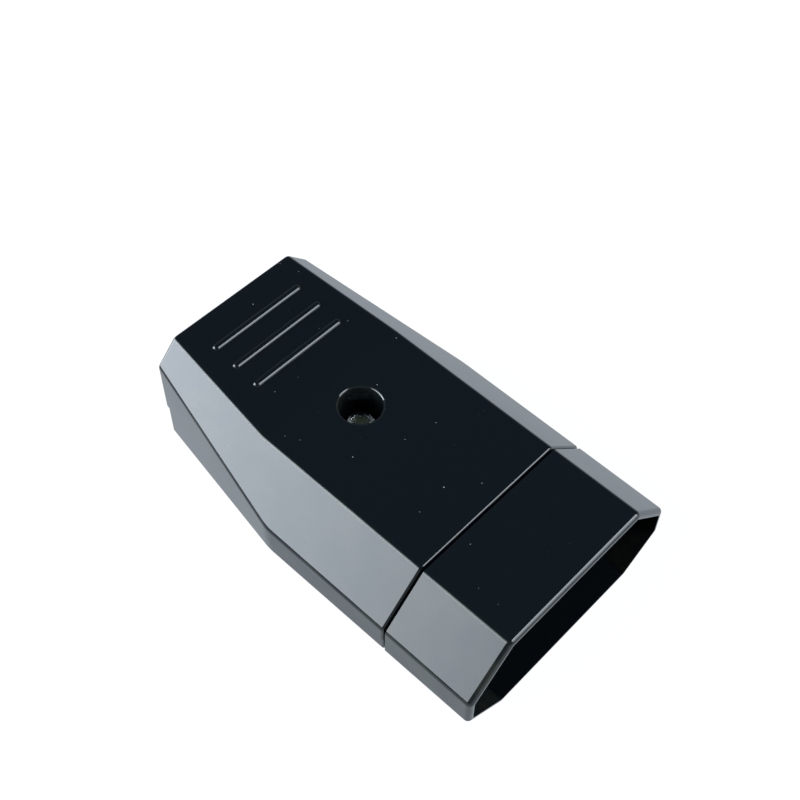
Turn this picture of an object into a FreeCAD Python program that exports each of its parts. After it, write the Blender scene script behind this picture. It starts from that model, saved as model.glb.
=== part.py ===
"""Flat two-pole in-line coupling: a socket nose between two shells, with its contacts and cord clamp.

X runs across the coupling, Y along it with the mouth towards -Y, and Z up from the face it lies on.
A station is a distance from the mouth rim along +Y. The origin is under the middle, on the resting face.
"""
import FreeCAD
import Part
import math
import os

Vector = FreeCAD.Vector
ACROSS = Vector(1, 0, 0)
ALONG = Vector(0, 1, 0)
UP = Vector(0, 0, 1)

# Outer form, in millimetres
overall_length = 64.5
overall_width = 40.0
mouth_height = 16.6          # top face above the resting face, at the mouth
crease_height = 17.3         # the same at the crease, behind the cover screw
rear_height = 19.6           # the same at the rear end
crease_station = 44.1
taper_station = 36.9         # from here the sides close in towards the rear
rear_width = 28.8
upper_edge_height = 9.5      # top of the side band at the mouth; the face above it leans at 45 degrees
upper_edge_rise = 1.0        # climb of that edge, carried on from the mouth to the rear end
lower_edge_height = 4.6      # foot of the side band
lower_slope_run = 6.7        # how far the sloping face under the band runs in to the flat bottom
bend_radius = 8.0            # soft turn where the top face creases and where the sides start to close in
top_edge_radius = 1.1        # long edges of the top face
long_edge_radius = 0.85      # the other long edges of the cover and of the nose
low_edge_radius = 0.3        # edges under the lower shell, whose slopes run out towards the rear
rear_edge_radius = 0.4
seam_edge_radius = 0.42      # front edge of the cover, beside the nose

# Shells
shell_wall = 1.8
rear_wall = 2.2
parting_height = 7.0         # the two shells meet at this level
parting_step = 0.2           # the lower shell stands back by this much, so the joint shows as a fine line
lip_height = 0.8             # tongue of the lower shell inside the cover's edge
lip_thickness = 0.7
lip_clearance = 0.1
grip_rib_height = 1.0        # rib in both shells that holds the nose in its groove
grip_rib_width = 1.6
grip_rib_setback = 1.9       # from the shells' front edge to the rib
grip_clearance = 0.1

# Socket nose
nose_length = 14.6           # the part that shows
seam_gap = 0.38              # between the nose and the shells
mouth_wall = 0.9
mouth_corner_radius = 0.5
rim_radius = 0.75            # outer edge of the mouth, which leaves only a narrow flat round the recess
recess_depth = 11.0
pin_face_thickness = 3.0
pin_spacing = 18.6
pin_hole_diameter = 4.8
pin_hole_lead = 0.5          # funnel at the mouth of each pin hole
chamber_diameter = 6.6       # holds a contact sleeve and its spring
chamber_wall = 1.6
chamber_length = 16.6
bridge_height = 2.4          # web that ties the two chambers together
spigot_clearance = 0.15
spigot_wall = 2.6
spigot_length = 5.4

# Contacts
contact_play = 0.1
sleeve_bore_diameter = 4.2
sleeve_wall = 0.75
slit_width = 0.6
slit_length = 10.5
collar_length = 2.0
spring_thickness = 0.25
spring_length = 5.0
spring_setback = 1.6
spring_opening_angle = 50.0
terminal_size = 6.4
terminal_length = 8.5
wire_hole_diameter = 3.0
wire_hole_depth = 7.0

# Terminal screws
terminal_thread_diameter = 3.0
terminal_head_diameter = 5.0
terminal_head_height = 1.8
terminal_head_lift = 0.3
terminal_screw_dip = 0.5     # the tip stands this far below the wire hole's axis
thread_clearance = 0.05      # radial room between a plain shank and the hole it screws into
slot_width = 0.8
slot_depth = 1.0

# Cover screw and its nut
screw_station = 38.45
screw_thread_diameter = 2.5
screw_head_diameter = 4.5
screw_head_height = 1.8
screw_head_sink = 4.0        # from the top face to the head
screw_tip_setback = 0.3      # from the nut's underside up to the screw's tip
screw_access_diameter = 6.2
screw_access_rim_radius = 0.5
screw_clearance = 0.2        # radial room in plain holes
boss_wall = 1.4
nut_across_flats = 5.0
nut_height = 2.0
nut_pocket_depth = 3.0
nut_clearance = 0.1

# Cord entry and clamp
cord_hole_diameter = 7.2
cord_hole_lead = 0.6
clamp_station = 54.0
clamp_width = 6.0
clamp_crown = 1.9            # bar thickness over the cord
clamp_end_margin = 0.4
clamp_corner_radius = 0.8
clamp_screw_spacing = 14.8
clamp_post_diameter = 5.6
clamp_post_rise = 1.0        # posts stand this far above the parting level
clamp_thread_diameter = 2.6
clamp_head_diameter = 4.8
clamp_head_height = 1.7
clamp_screw_depth = 3.6      # how far a clamp screw goes into its post
saddle_margin = 0.8

# Rests for the terminals
rest_length = 3.6
rest_wall = 1.2
rest_lip = 1.5               # side walls of a rest above the terminal's underside
press_rib_margin = 0.4       # left free before and behind the cover's rib, ahead of the terminal screw

# Thumb ribs on the cover
thumb_rib_first_station = 50.84
thumb_rib_pitch = 4.13
thumb_rib_count = 3
thumb_rib_length = 16.7
thumb_rib_width = 1.15
thumb_rib_height = 0.36

# Share of the head's diameter that a cross recess reaches out from the axis
cross_reach = 0.32

# How far a cutter runs past the face that it opens, and a joined form into its neighbour
past = 1.0

# Stations and levels that follow from the sizes above
shell_front = nose_length + seam_gap
rib_front = shell_front + grip_rib_setback
rib_rear = rib_front + grip_rib_width
chamber_front = recess_depth + pin_face_thickness
chamber_rear = chamber_front + chamber_length
spigot_rear = nose_length + spigot_length
terminal_front = chamber_rear + contact_play
terminal_middle = terminal_front + terminal_length / 2
contact_height = mouth_height / 2
contact_radius = sleeve_bore_diameter / 2 + sleeve_wall
cavity_rear = overall_length - rear_wall
clamp_seat = parting_height + clamp_post_rise
clamp_top = parting_height + cord_hole_diameter / 2 + clamp_crown
boss_radius = screw_access_diameter / 2 + boss_wall
LEFT, RIGHT = -1, 1


def along(station):
    """Y of a station."""
    return station - overall_length / 2


def top_height(station):
    """Height of the top face: one gentle slope up to the crease, then a steeper one to the rear end."""
    if station <= crease_station:
        return mouth_height + (crease_height - mouth_height) * station / crease_station
    climb = (rear_height - crease_height) / (overall_length - crease_station)
    return crease_height + climb * (station - crease_station)


def half_width(station):
    """Half the width: parallel sides at first, then straight sides that close in."""
    if station <= taper_station:
        return overall_width / 2
    closing = (overall_width - rear_width) / 2 / (overall_length - taper_station)
    return overall_width / 2 - closing * (station - taper_station)


screw_seat = top_height(screw_station) - screw_head_sink - screw_head_height


def face_prism(points, reach):
    return Part.Face(Part.makePolygon(points + points[:1])).extrude(reach)


def bent_prism(path, back, reach):
    """Prism over a path whose inner points are rounded to the bend radius, closed through back points."""
    edges = []
    start = path[0]
    for before, corner, after in zip(path, path[1:], path[2:]):
        inward = (before - corner).normalize()
        onward = (after - corner).normalize()
        turn = math.pi - inward.getAngle(onward)
        trim = bend_radius * math.tan(turn / 2)
        towards_centre = (inward + onward).normalize()
        depth = bend_radius / math.cos(turn / 2) - bend_radius
        leave, join = corner + inward * trim, corner + onward * trim
        edges.append(Part.makeLine(start, leave))
        edges.append(Part.Arc(leave, corner + towards_centre * depth, join).toShape())
        start = join
    for point in path[-1:] + back:
        edges.append(Part.makeLine(start, point))
        start = point
    edges.append(Part.makeLine(start, path[0]))
    return Part.Face(Part.Wire(edges)).extrude(reach)


def box(low, high):
    size = high - low
    return Part.makeBox(size.x, size.y, size.z, low)


def rod(radius, start, direction, length):
    return Part.makeCylinder(radius, length, start, direction)


def stations_between(start, stop, bend):
    return [start] + [bend] * (start < bend < stop) + [stop]


def lower_face_run(inset):
    """Half width at height zero of the two sloping faces under the bands."""
    slope_length = math.hypot(lower_edge_height, lower_slope_run)
    return overall_width / 2 - lower_slope_run - inset * slope_length / lower_edge_height


def mirrored(half):
    """A closed outline from its right half, as (x, z) pairs listed from the bottom up."""
    return half + [(-x, z) for x, z in reversed(half)]


def across_plane(pairs, station):
    return [Vector(x, along(station), z) for x, z in pairs]


def envelope(inset, start, stop):
    """The outer form between two stations, drawn in by an inset on its long faces."""
    side = overall_width / 2 - inset
    high = max(top_height(start), top_height(stop)) - inset + past
    rise_per_length = upper_edge_rise / overall_length
    lean = overall_width / 2 + upper_edge_height + rise_per_length * start - inset * math.sqrt(2)
    roof = mirrored([(side, -overall_width), (side, lean - side), (lean - high, high)])
    run_per_rise = lower_slope_run / lower_edge_height
    foot = lower_face_run(inset)
    keel = mirrored([(foot, 0), (side, (side - foot) / run_per_rise), (side, overall_width)])
    ridge = [Vector(-overall_width, along(station), top_height(station) - inset)
             for station in stations_between(start, stop, crease_station)]
    floor = [Vector(-overall_width, along(station), inset) for station in (stop, start)]
    reach = stop - start
    body = face_prism(across_plane(roof, start), Vector(0, reach, rise_per_length * reach))
    body = body.common(face_prism(across_plane(keel, start), ALONG * reach))
    body = body.common(bent_prism(ridge, floor, ACROSS * overall_width * 2))
    return body.common(plan_prism(inset, start, stop)).removeSplitter()


def plan_prism(inset, start, stop):
    """Upright prism over the plan view between two stations, drawn in at both sides."""
    halves = []
    for side in (LEFT, RIGHT):
        edge = [Vector(side * (half_width(station) - inset), along(station), -overall_width)
                for station in stations_between(start, stop, taper_station)]
        middle = [Vector(0, point.y, point.z) for point in (edge[-1], edge[0])]
        halves.append(bent_prism(edge, middle, UP * overall_width * 2))
    return halves[0].fuse(halves[1]).removeSplitter()


def slab(low, high):
    """Everything between two heights."""
    reach = overall_width + overall_length
    return box(Vector(-reach, -reach, low), Vector(reach, reach, high))


def long_edges(shape, keep=lambda middle: True):
    """Edges that run mostly along the coupling, and whose middle the test keeps."""
    found = []
    for edge in shape.Edges:
        reach = edge.Vertexes[-1].Point - edge.Vertexes[0].Point
        if abs(reach.y) > 0.9 * reach.Length and keep(edge.CenterOfMass):
            found.append(edge)
    return found


def round_long_edges(shape, radius):
    """Round the top face's long edges to their own radius and the other long edges to the given one."""
    shape = shape.makeFillet(radius, long_edges(shape, is_on_side))
    top_edges = long_edges(shape, is_on_top)
    return shape.makeFillet(top_edge_radius, top_edges) if top_edges else shape


def is_on_top(point):
    return point.z > (upper_edge_height + mouth_height) / 2


def is_on_side(point):
    return is_off_parting(point) and not is_on_top(point)


def is_off_parting(point):
    return abs(point.z - parting_height) > 0.01


def end_edges(shape, station):
    """Edges that lie in the plane across the coupling at a station."""
    level = along(station)
    return [edge for edge in shape.Edges
            if abs(edge.BoundBox.YMin - level) < 0.01 and abs(edge.BoundBox.YMax - level) < 0.01]


def top_face_edges(shape, station, reach):
    """Edges round a hollow in the top face that lies within reach of a station."""
    middle, level = along(station), top_height(station)
    return [edge for edge in shape.Edges
            if abs(edge.BoundBox.YMin - middle) < reach and abs(edge.BoundBox.YMax - middle) < reach
            and abs(edge.BoundBox.ZMin - level) < screw_access_rim_radius / 2]


def hexagon_prism(across_flats, centre, height):
    radius = across_flats / math.sqrt(3)
    corners = [centre + Vector(radius * math.cos(turn), radius * math.sin(turn), 0)
               for turn in (math.radians(60 * corner) for corner in range(6))]
    return face_prism(corners, UP * height)


def contact_axis(side, station):
    return Vector(side * pin_spacing / 2, along(station), contact_height)


def terminal_seat(side):
    """Underside of a terminal screw's head, where the screw stands part way out of its terminal."""
    return contact_axis(side, terminal_middle) + UP * (terminal_size / 2 + terminal_head_lift)


def clamp_axis(side, height):
    return Vector(side * clamp_screw_spacing / 2, along(clamp_station), height)


def screw_axis(height):
    return Vector(0, along(screw_station), height)


def cord_axis(station):
    return Vector(0, along(station), parting_height)


def socket_nose():
    """Mouth tube, pin face, and behind it the spigot and contact chambers that the shells hold."""
    nose = round_long_edges(envelope(0, 0, nose_length), long_edge_radius)
    nose = nose.makeFillet(rim_radius, end_edges(nose, 0))
    recess = envelope(mouth_wall, -past, recess_depth)
    recess = recess.makeFillet(mouth_corner_radius, long_edges(recess))
    nose = nose.cut(recess)

    spigot_inset = shell_wall + spigot_clearance
    spigot = envelope(spigot_inset, nose_length - past, spigot_rear)
    groove = envelope(0, rib_front - grip_clearance, rib_rear + grip_clearance)
    groove = groove.cut(envelope(spigot_inset + grip_rib_height, rib_front - past, rib_rear + past))
    hollow = envelope(spigot_inset + spigot_wall, chamber_front, spigot_rear + past)
    nose = nose.fuse(spigot.cut(groove)).cut(hollow)
    chamber_radius = chamber_diameter / 2
    for side in (LEFT, RIGHT):
        start = contact_axis(side, chamber_front - past)
        nose = nose.fuse(rod(chamber_radius + chamber_wall, start, ALONG, chamber_length + past))
    reach = pin_spacing / 2 - chamber_radius
    bridge_low = Vector(-reach, along(chamber_front - past), contact_height - bridge_height / 2)
    bridge_high = Vector(reach, along(chamber_rear), contact_height + bridge_height / 2)
    nose = nose.fuse(box(bridge_low, bridge_high))
    for side in (LEFT, RIGHT):
        nose = nose.cut(pin_way(side))
    return nose.removeSplitter()


def pin_way(side):
    """Way of one pin: a funnel, the hole through the pin face, and the contact chamber behind it."""
    hole_radius = pin_hole_diameter / 2
    way = rod(hole_radius, contact_axis(side, recess_depth - past), ALONG, pin_face_thickness + 2 * past)
    chamber_start = contact_axis(side, chamber_front)
    way = way.fuse(rod(chamber_diameter / 2, chamber_start, ALONG, chamber_length + past))
    lead = Part.makeCone(hole_radius + pin_hole_lead, hole_radius, pin_hole_lead,
                         contact_axis(side, recess_depth), ALONG)
    return way.fuse(lead)


def shell_body(low, high, step, edge_radius):
    """Rounded outer form of one shell between two heights, stood back by a step at its sides and rear."""
    rear = overall_length - step
    body = envelope(0, shell_front, rear).common(plan_prism(step, shell_front, rear))
    body = body.common(slab(low, high)).removeSplitter()
    body = round_long_edges(body, edge_radius)
    for station, radius in ((rear, rear_edge_radius), (shell_front, seam_edge_radius)):
        rim = [edge for edge in end_edges(body, station) if is_off_parting(edge.CenterOfMass)]
        body = body.makeFillet(min(radius, edge_radius), rim)
    return body


def shell_cavity():
    """Room inside the closed shells, narrowed where the grip rib holds the nose."""
    room = envelope(shell_wall, shell_front - past, rib_front)
    room = room.fuse(envelope(shell_wall + grip_rib_height, rib_front - past, rib_rear + past))
    return room.fuse(envelope(shell_wall, rib_rear, cavity_rear))


def parting_lip(clearance):
    """Tongue that stands up from the lower shell inside the cover's edge."""
    start = rib_rear + lip_thickness
    stop = cavity_rear + lip_thickness + clearance
    outer = envelope(shell_wall - lip_thickness - clearance, start - clearance, stop)
    inner = envelope(shell_wall + clearance, start - past, cavity_rear)
    ring = outer.cut(inner)
    return ring.common(slab(parting_height - lip_thickness, parting_height + lip_height + clearance))


def cord_way():
    """Round way in for the cord, with its mouth opened out at the rear face."""
    radius = cord_hole_diameter / 2
    way = rod(radius, cord_axis(cavity_rear - past), ALONG, rear_wall + 2 * past)
    lead = Part.makeCone(radius, radius + cord_hole_lead, cord_hole_lead,
                         cord_axis(overall_length - cord_hole_lead), ALONG)
    return way.fuse(lead)


def thumb_rib(station):
    """A low rounded rib across the cover, with round ends, sunk so that only its crown stands out."""
    radius = (thumb_rib_height ** 2 + (thumb_rib_width / 2) ** 2) / (2 * thumb_rib_height)
    reach = thumb_rib_length / 2 - thumb_rib_width / 2
    middle = Vector(0, along(station), top_height(station) + thumb_rib_height - radius)
    rib = rod(radius, middle - ACROSS * reach, ACROSS, 2 * reach)
    for side in (LEFT, RIGHT):
        rib = rib.fuse(Part.makeSphere(radius, middle + ACROSS * side * reach))
    return rib


def screw_boss(low):
    """Boss about the cover screw from a height up, flattened if the terminals come close beside it."""
    room = Vector(pin_spacing / 2 - terminal_size / 2 - contact_play, boss_radius, 0)
    boss = rod(boss_radius, screw_axis(low), UP, rear_height)
    return boss.common(box(screw_axis(low) - room, screw_axis(low + rear_height) + room))


def press_rib(side):
    """Rib of the cover that holds a terminal down, ahead of its screw."""
    reach = ACROSS * (terminal_size / 2)
    low = contact_axis(side, terminal_front + press_rib_margin) - reach
    low.z += terminal_size / 2 + contact_play
    high = contact_axis(side, terminal_middle - terminal_head_diameter / 2 - press_rib_margin) + reach
    high.z = rear_height
    return box(low, high)


def upper_cover():
    """Upper shell with the screw boss, the ribs that press on the terminals, and the thumb ribs."""
    cover = shell_body(parting_height, rear_height + past, 0, long_edge_radius)
    inside = envelope(shell_wall / 2, shell_front, cavity_rear + rear_wall / 2)
    cover = cover.cut(shell_cavity())
    cover = cover.fuse(screw_boss(parting_height).common(inside))
    for side in (LEFT, RIGHT):
        cover = cover.fuse(press_rib(side).common(inside))
    cover = cover.cut(rod(screw_access_diameter / 2, screw_axis(screw_seat), UP, rear_height))
    access_rim = top_face_edges(cover, screw_station, screw_access_diameter)
    cover = cover.makeFillet(screw_access_rim_radius, access_rim)
    shank_radius = screw_thread_diameter / 2 + screw_clearance
    cover = cover.cut(rod(shank_radius, screw_axis(0), UP, rear_height))
    cover = cover.cut(parting_lip(lip_clearance)).cut(cord_way())
    for rib in range(thumb_rib_count):
        cover = cover.fuse(thumb_rib(thumb_rib_first_station + rib * thumb_rib_pitch))
    return cover.removeSplitter()


def terminal_rest(side):
    """Cradle of the lower shell under a terminal, with a low wall on each side of it."""
    half = terminal_size / 2 + contact_play
    seat_height = contact_height - half
    foot = contact_axis(side, terminal_middle) - UP * contact_height
    reach = Vector(half + rest_wall, rest_length / 2, 0)
    rest = box(foot - reach, foot + reach + UP * (seat_height + rest_lip))
    seat_reach = Vector(half, rest_length, 0)
    return rest.cut(box(foot - seat_reach + UP * seat_height, foot + seat_reach + UP * overall_width))


def cord_saddle():
    """Hollowed block of the lower shell that the cord lies on under the clamp."""
    radius = cord_hole_diameter / 2
    middle = cord_axis(clamp_station)
    reach = Vector(radius + saddle_margin, clamp_width / 2, 0)
    block = box(middle - reach - UP * parting_height, middle + reach - UP * saddle_margin)
    return block.cut(rod(radius, cord_axis(clamp_station - clamp_width), ALONG, 2 * clamp_width))


def lower_shell():
    """Lower shell with the nut boss, the rests for the terminals, the clamp posts and the cord saddle."""
    shell = shell_body(0, parting_height, parting_step, low_edge_radius)
    inside = envelope(shell_wall / 2, shell_front, cavity_rear + rear_wall / 2)
    fittings = [screw_boss(0).common(slab(0, parting_height)), cord_saddle()]
    for side in (LEFT, RIGHT):
        fittings.append(terminal_rest(side))
        fittings.append(rod(clamp_post_diameter / 2, clamp_axis(side, 0), UP, clamp_seat))
    shell = shell.cut(shell_cavity()).fuse(parting_lip(0))
    for fitting in fittings:
        shell = shell.fuse(fitting.common(inside))
    for side in (LEFT, RIGHT):
        hole_radius = clamp_thread_diameter / 2 + thread_clearance
        shell = shell.cut(rod(hole_radius, clamp_axis(side, shell_wall), UP, clamp_seat))
    shank_radius = screw_thread_diameter / 2 + screw_clearance
    shell = shell.cut(rod(shank_radius, screw_axis(-past), UP, parting_height + 2 * past))
    pocket_width = nut_across_flats + 2 * nut_clearance
    shell = shell.cut(hexagon_prism(pocket_width, screw_axis(-past), nut_pocket_depth + past))
    return shell.cut(cord_way()).removeSplitter()


def contact(side):
    """Turned contact: a slit sleeve for the pin, a collar that centres it, and a square screw terminal."""
    start = chamber_front + contact_play
    body = rod(contact_radius, contact_axis(side, start), ALONG, terminal_front - start)
    collar_radius = chamber_diameter / 2 - contact_play
    collar_start = contact_axis(side, terminal_front - collar_length)
    body = body.fuse(rod(collar_radius, collar_start, ALONG, collar_length))
    terminal_rear = terminal_front + terminal_length
    reach = Vector(terminal_size / 2, 0, terminal_size / 2)
    block_low = contact_axis(side, terminal_front) - reach
    body = body.fuse(box(block_low, contact_axis(side, terminal_rear) + reach))
    bore_length = chamber_length - contact_play
    body = body.cut(rod(sleeve_bore_diameter / 2, contact_axis(side, start - past), ALONG, bore_length))
    slit_reach = Vector(slit_width / 2, 0, chamber_diameter)
    slit_low = contact_axis(side, start - past) - slit_reach
    body = body.cut(box(slit_low, contact_axis(side, start + slit_length) + slit_reach))
    wire_start = contact_axis(side, terminal_rear - wire_hole_depth)
    body = body.cut(rod(wire_hole_diameter / 2, wire_start, ALONG, wire_hole_depth + past))
    thread_radius = terminal_thread_diameter / 2 + thread_clearance
    thread_end = contact_axis(side, terminal_middle) - UP * (terminal_screw_dip + contact_play)
    return body.cut(rod(thread_radius, thread_end, UP, terminal_size)).removeSplitter()


def contact_spring(side):
    """Open steel ring that squeezes the slit end of a contact sleeve."""
    start = chamber_front + contact_play + spring_setback
    inner = contact_radius + thread_clearance
    ring = rod(inner + spring_thickness, contact_axis(side, start), ALONG, spring_length)
    centre = contact_axis(side, start - past)
    ring = ring.cut(rod(inner, centre, ALONG, spring_length + 2 * past))
    drop = UP * -chamber_diameter
    spread = ACROSS * (chamber_diameter * math.tan(math.radians(spring_opening_angle / 2)))
    opening = [centre, centre + drop + spread, centre + drop - spread]
    return ring.cut(face_prism(opening, ALONG * (spring_length + 2 * past)))


def screw(seat, tip_height, head_diameter, head_height, thread_diameter, crossed):
    """Plain-shanked screw from under its head down to its tip, with one slot or a cross in the head."""
    head = rod(head_diameter / 2, seat, UP, head_height)
    crown = [edge for edge in head.Edges if abs(edge.BoundBox.ZMin - seat.z - head_height) < 0.01]
    head = head.makeFillet(head_height / 3, crown)
    shank_length = seat.z - tip_height
    body = head.fuse(rod(thread_diameter / 2, seat - UP * shank_length, UP, shank_length))
    reach = head_diameter * cross_reach if crossed else head_diameter
    for turn in (0, 90) if crossed else (0,):
        slot = box(seat + Vector(-reach, -slot_width / 2, head_height - slot_depth),
                   seat + Vector(reach, slot_width / 2, head_height + past))
        slot.rotate(seat, UP, turn)
        body = body.cut(slot)
    return body.removeSplitter()


def terminal_screws():
    tip = contact_height - terminal_screw_dip
    return Part.makeCompound([
        screw(terminal_seat(side), tip, terminal_head_diameter, terminal_head_height,
              terminal_thread_diameter, crossed=False)
        for side in (LEFT, RIGHT)])


def clamp_screws():
    tip = clamp_seat - clamp_screw_depth
    return Part.makeCompound([
        screw(clamp_axis(side, clamp_top), tip, clamp_head_diameter, clamp_head_height,
              clamp_thread_diameter, crossed=True)
        for side in (LEFT, RIGHT)])


def cover_screw():
    tip = nut_pocket_depth - nut_height + screw_tip_setback
    return screw(screw_axis(screw_seat), tip, screw_head_diameter, screw_head_height,
                 screw_thread_diameter, crossed=True)


def cover_nut():
    """Hexagon nut held in the pocket under the lower shell, drawn up against the pocket's roof."""
    low = screw_axis(nut_pocket_depth - nut_height)
    nut = hexagon_prism(nut_across_flats, low, nut_height)
    hole_radius = screw_thread_diameter / 2 + thread_clearance
    return nut.cut(rod(hole_radius, low - UP * past, UP, nut_height + 2 * past))


def cord_clamp():
    """Bar that the two clamp screws draw down on the cord, arched over it."""
    end = clamp_screw_spacing / 2 + clamp_post_diameter / 2 + clamp_end_margin
    reach = Vector(end, clamp_width / 2, 0)
    middle = Vector(0, along(clamp_station), 0)
    bar = box(middle - reach + UP * clamp_seat, middle + reach + UP * clamp_top)
    bar = bar.makeFillet(clamp_corner_radius, [edge for edge in bar.Edges if edge.BoundBox.XLength < 0.01
                                               and edge.BoundBox.YLength < 0.01])
    arch_start = cord_axis(clamp_station - clamp_width)
    bar = bar.cut(rod(cord_hole_diameter / 2, arch_start, ALONG, 2 * clamp_width))
    for side in (LEFT, RIGHT):
        hole_radius = clamp_thread_diameter / 2 + screw_clearance
        bar = bar.cut(rod(hole_radius, clamp_axis(side, 0), UP, overall_width))
    return bar


PIECES = {
    "socket_nose": socket_nose,
    "upper_cover": upper_cover,
    "lower_shell": lower_shell,
    "contact_left": lambda: contact(LEFT),
    "contact_right": lambda: contact(RIGHT),
    "contact_spring_left": lambda: contact_spring(LEFT),
    "contact_spring_right": lambda: contact_spring(RIGHT),
    "terminal_screws": terminal_screws,
    "cord_clamp": cord_clamp,
    "clamp_screws": clamp_screws,
    "cover_screw": cover_screw,
    "cover_nut": cover_nut,
}

os.makedirs("parts", exist_ok=True)
for name, make in PIECES.items():
    piece = make()
    piece.exportStep(f"parts/{name}.step")
    print(name, len(piece.Solids), "solid(s)", round(piece.Volume, 1), "mm3", piece.isValid())
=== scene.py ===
"""Looks of a flat two-pole in-line coupling, laid out as an add-on and run as a script.

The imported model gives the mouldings, contacts and springs. This file gives every piece its finish, makes
the threaded screws and the nut as surfaces, and sets a plain studio stage. Lengths are in metres.
"""
import math
from typing import NamedTuple

import bpy
import numpy as np
from bpy.props import FloatProperty, FloatVectorProperty, PointerProperty
from bpy.types import Operator, Panel, PropertyGroup
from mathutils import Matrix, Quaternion, Vector


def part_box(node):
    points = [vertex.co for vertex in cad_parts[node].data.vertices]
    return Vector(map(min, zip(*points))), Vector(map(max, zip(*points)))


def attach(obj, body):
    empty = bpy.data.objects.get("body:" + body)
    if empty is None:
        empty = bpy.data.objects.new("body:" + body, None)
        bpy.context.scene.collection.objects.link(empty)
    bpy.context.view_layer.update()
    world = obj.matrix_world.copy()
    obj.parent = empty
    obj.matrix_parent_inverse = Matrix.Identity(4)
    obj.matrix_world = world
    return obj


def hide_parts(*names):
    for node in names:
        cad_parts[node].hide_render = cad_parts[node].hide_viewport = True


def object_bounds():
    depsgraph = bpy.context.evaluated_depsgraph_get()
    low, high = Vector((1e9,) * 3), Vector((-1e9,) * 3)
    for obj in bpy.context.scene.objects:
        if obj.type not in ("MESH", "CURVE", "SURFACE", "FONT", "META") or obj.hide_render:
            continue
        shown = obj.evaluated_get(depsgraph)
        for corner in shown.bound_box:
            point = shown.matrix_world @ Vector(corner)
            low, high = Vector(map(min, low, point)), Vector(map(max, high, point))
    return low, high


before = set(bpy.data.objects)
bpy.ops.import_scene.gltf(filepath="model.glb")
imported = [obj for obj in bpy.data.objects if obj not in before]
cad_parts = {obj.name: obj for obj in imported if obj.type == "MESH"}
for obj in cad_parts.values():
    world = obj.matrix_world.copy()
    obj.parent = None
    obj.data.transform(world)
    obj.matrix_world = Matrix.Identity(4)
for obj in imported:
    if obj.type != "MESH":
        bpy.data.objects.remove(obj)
cad_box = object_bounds()

bl_info = {
    "name": "In-line coupling looks",
    "version": (1, 0, 0),
    "blender": (4, 5, 0),
    "location": "View3D > Sidebar > Coupling",
    "description": "Finishes, threaded fasteners and a studio stage for a flat in-line coupling",
    "category": "Object",
}

MM = 0.001
TURN = 2 * math.pi
BODY = "root"
MOULDINGS = ("socket_nose", "upper_cover", "lower_shell")
CONTACTS = ("contact_left", "contact_right")
SPRINGS = ("contact_spring_left", "contact_spring_right")
ZINC = "zinc_plated_steel"  # finish that the screws and the nut share
# The points that this attribute marks take olive dirt whose pale colour is partly painted light.
RECESS_DIRT_AND_LIGHT = "dirt"  # mesh attribute that is 1 at the points of a screw's recess
PLASTIC_IOR = 1.53


def linear(hex_colour):
    """Linear red, green and blue of an sRGB hex value such as 1A2B3C."""
    coded = np.array([int(hex_colour[start:start + 2], 16) for start in (0, 2, 4)]) / 255
    curved = ((coded + 0.055) / 1.055) ** 2.4
    return tuple(np.where(coded <= 0.04045, coded / 12.92, curved).tolist())


def shaded(colour, share):
    """The colour with its light multiplied by a share."""
    return tuple(share * part for part in colour)


def opaque(colour):
    """The colour with a full alpha, as a node's colour socket takes it."""
    return (*colour, 1.0)


def colour_property(name, description, hex_colour):
    """A colour that the panel shows, given by its sRGB hex value."""
    return FloatVectorProperty(
        name=name, description=description, subtype="COLOR", min=0.0, max=1.0, default=linear(hex_colour))


def length_property(name, description, default):
    """A length that the panel shows, in metres."""
    return FloatProperty(name=name, description=description, unit="LENGTH", precision=5, default=default)


def angle_property(name, description, degrees):
    """An angle that the panel shows, given in degrees."""
    return FloatProperty(
        name=name, description=description, subtype="ANGLE", default=math.radians(degrees))


# Settings

class FinishSettings(PropertyGroup):
    """Colours of the finishes, and how dusty the mouldings are."""
    moulding: colour_property("Gloss moulding", "Black of the nose and the shells", "0C1114")
    film: colour_property("Handling film", "Grey film that hands leave on the slanted sides", "232620")
    rubbed: colour_property("Rubbed edge", "Dull grey of the upper left edges, which hands rub", "4B4E45")
    dust: colour_property("Dust", "Specks that lie on the faces that look up", "9AA0A6")
    clamp: colour_property("Clamp moulding", "Black of the cord clamp", "17181A")
    brass: colour_property("Brass", "Clean turned brass of the contacts", "D9B463")
    tarnish: colour_property("Tarnish", "Brown of older brass", "9C7434")
    spring: colour_property("Spring steel", "Grey of the contact springs", "A9ACB2")
    zinc: colour_property("Zinc", "Bright zinc plating of the screws and the nut", "D6D9DF")
    passivation: colour_property("Passivation", "Greenish tint that lies in patches on zinc", "B6BAB2")
    # Partly painted light: this olive is paler than the dirt's own, to stand in for light that does not
    # reach into the well and the recesses.
    grime_and_painted_light: colour_property("Grime", "Olive dirt that gathers in recesses and thread roots", "B9BD9C")
    dust_share: FloatProperty(
        name="Dust share", description="Share of the places on the top that hold a speck",
        subtype="FACTOR", min=0.0, max=1.0, default=0.08)


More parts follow.
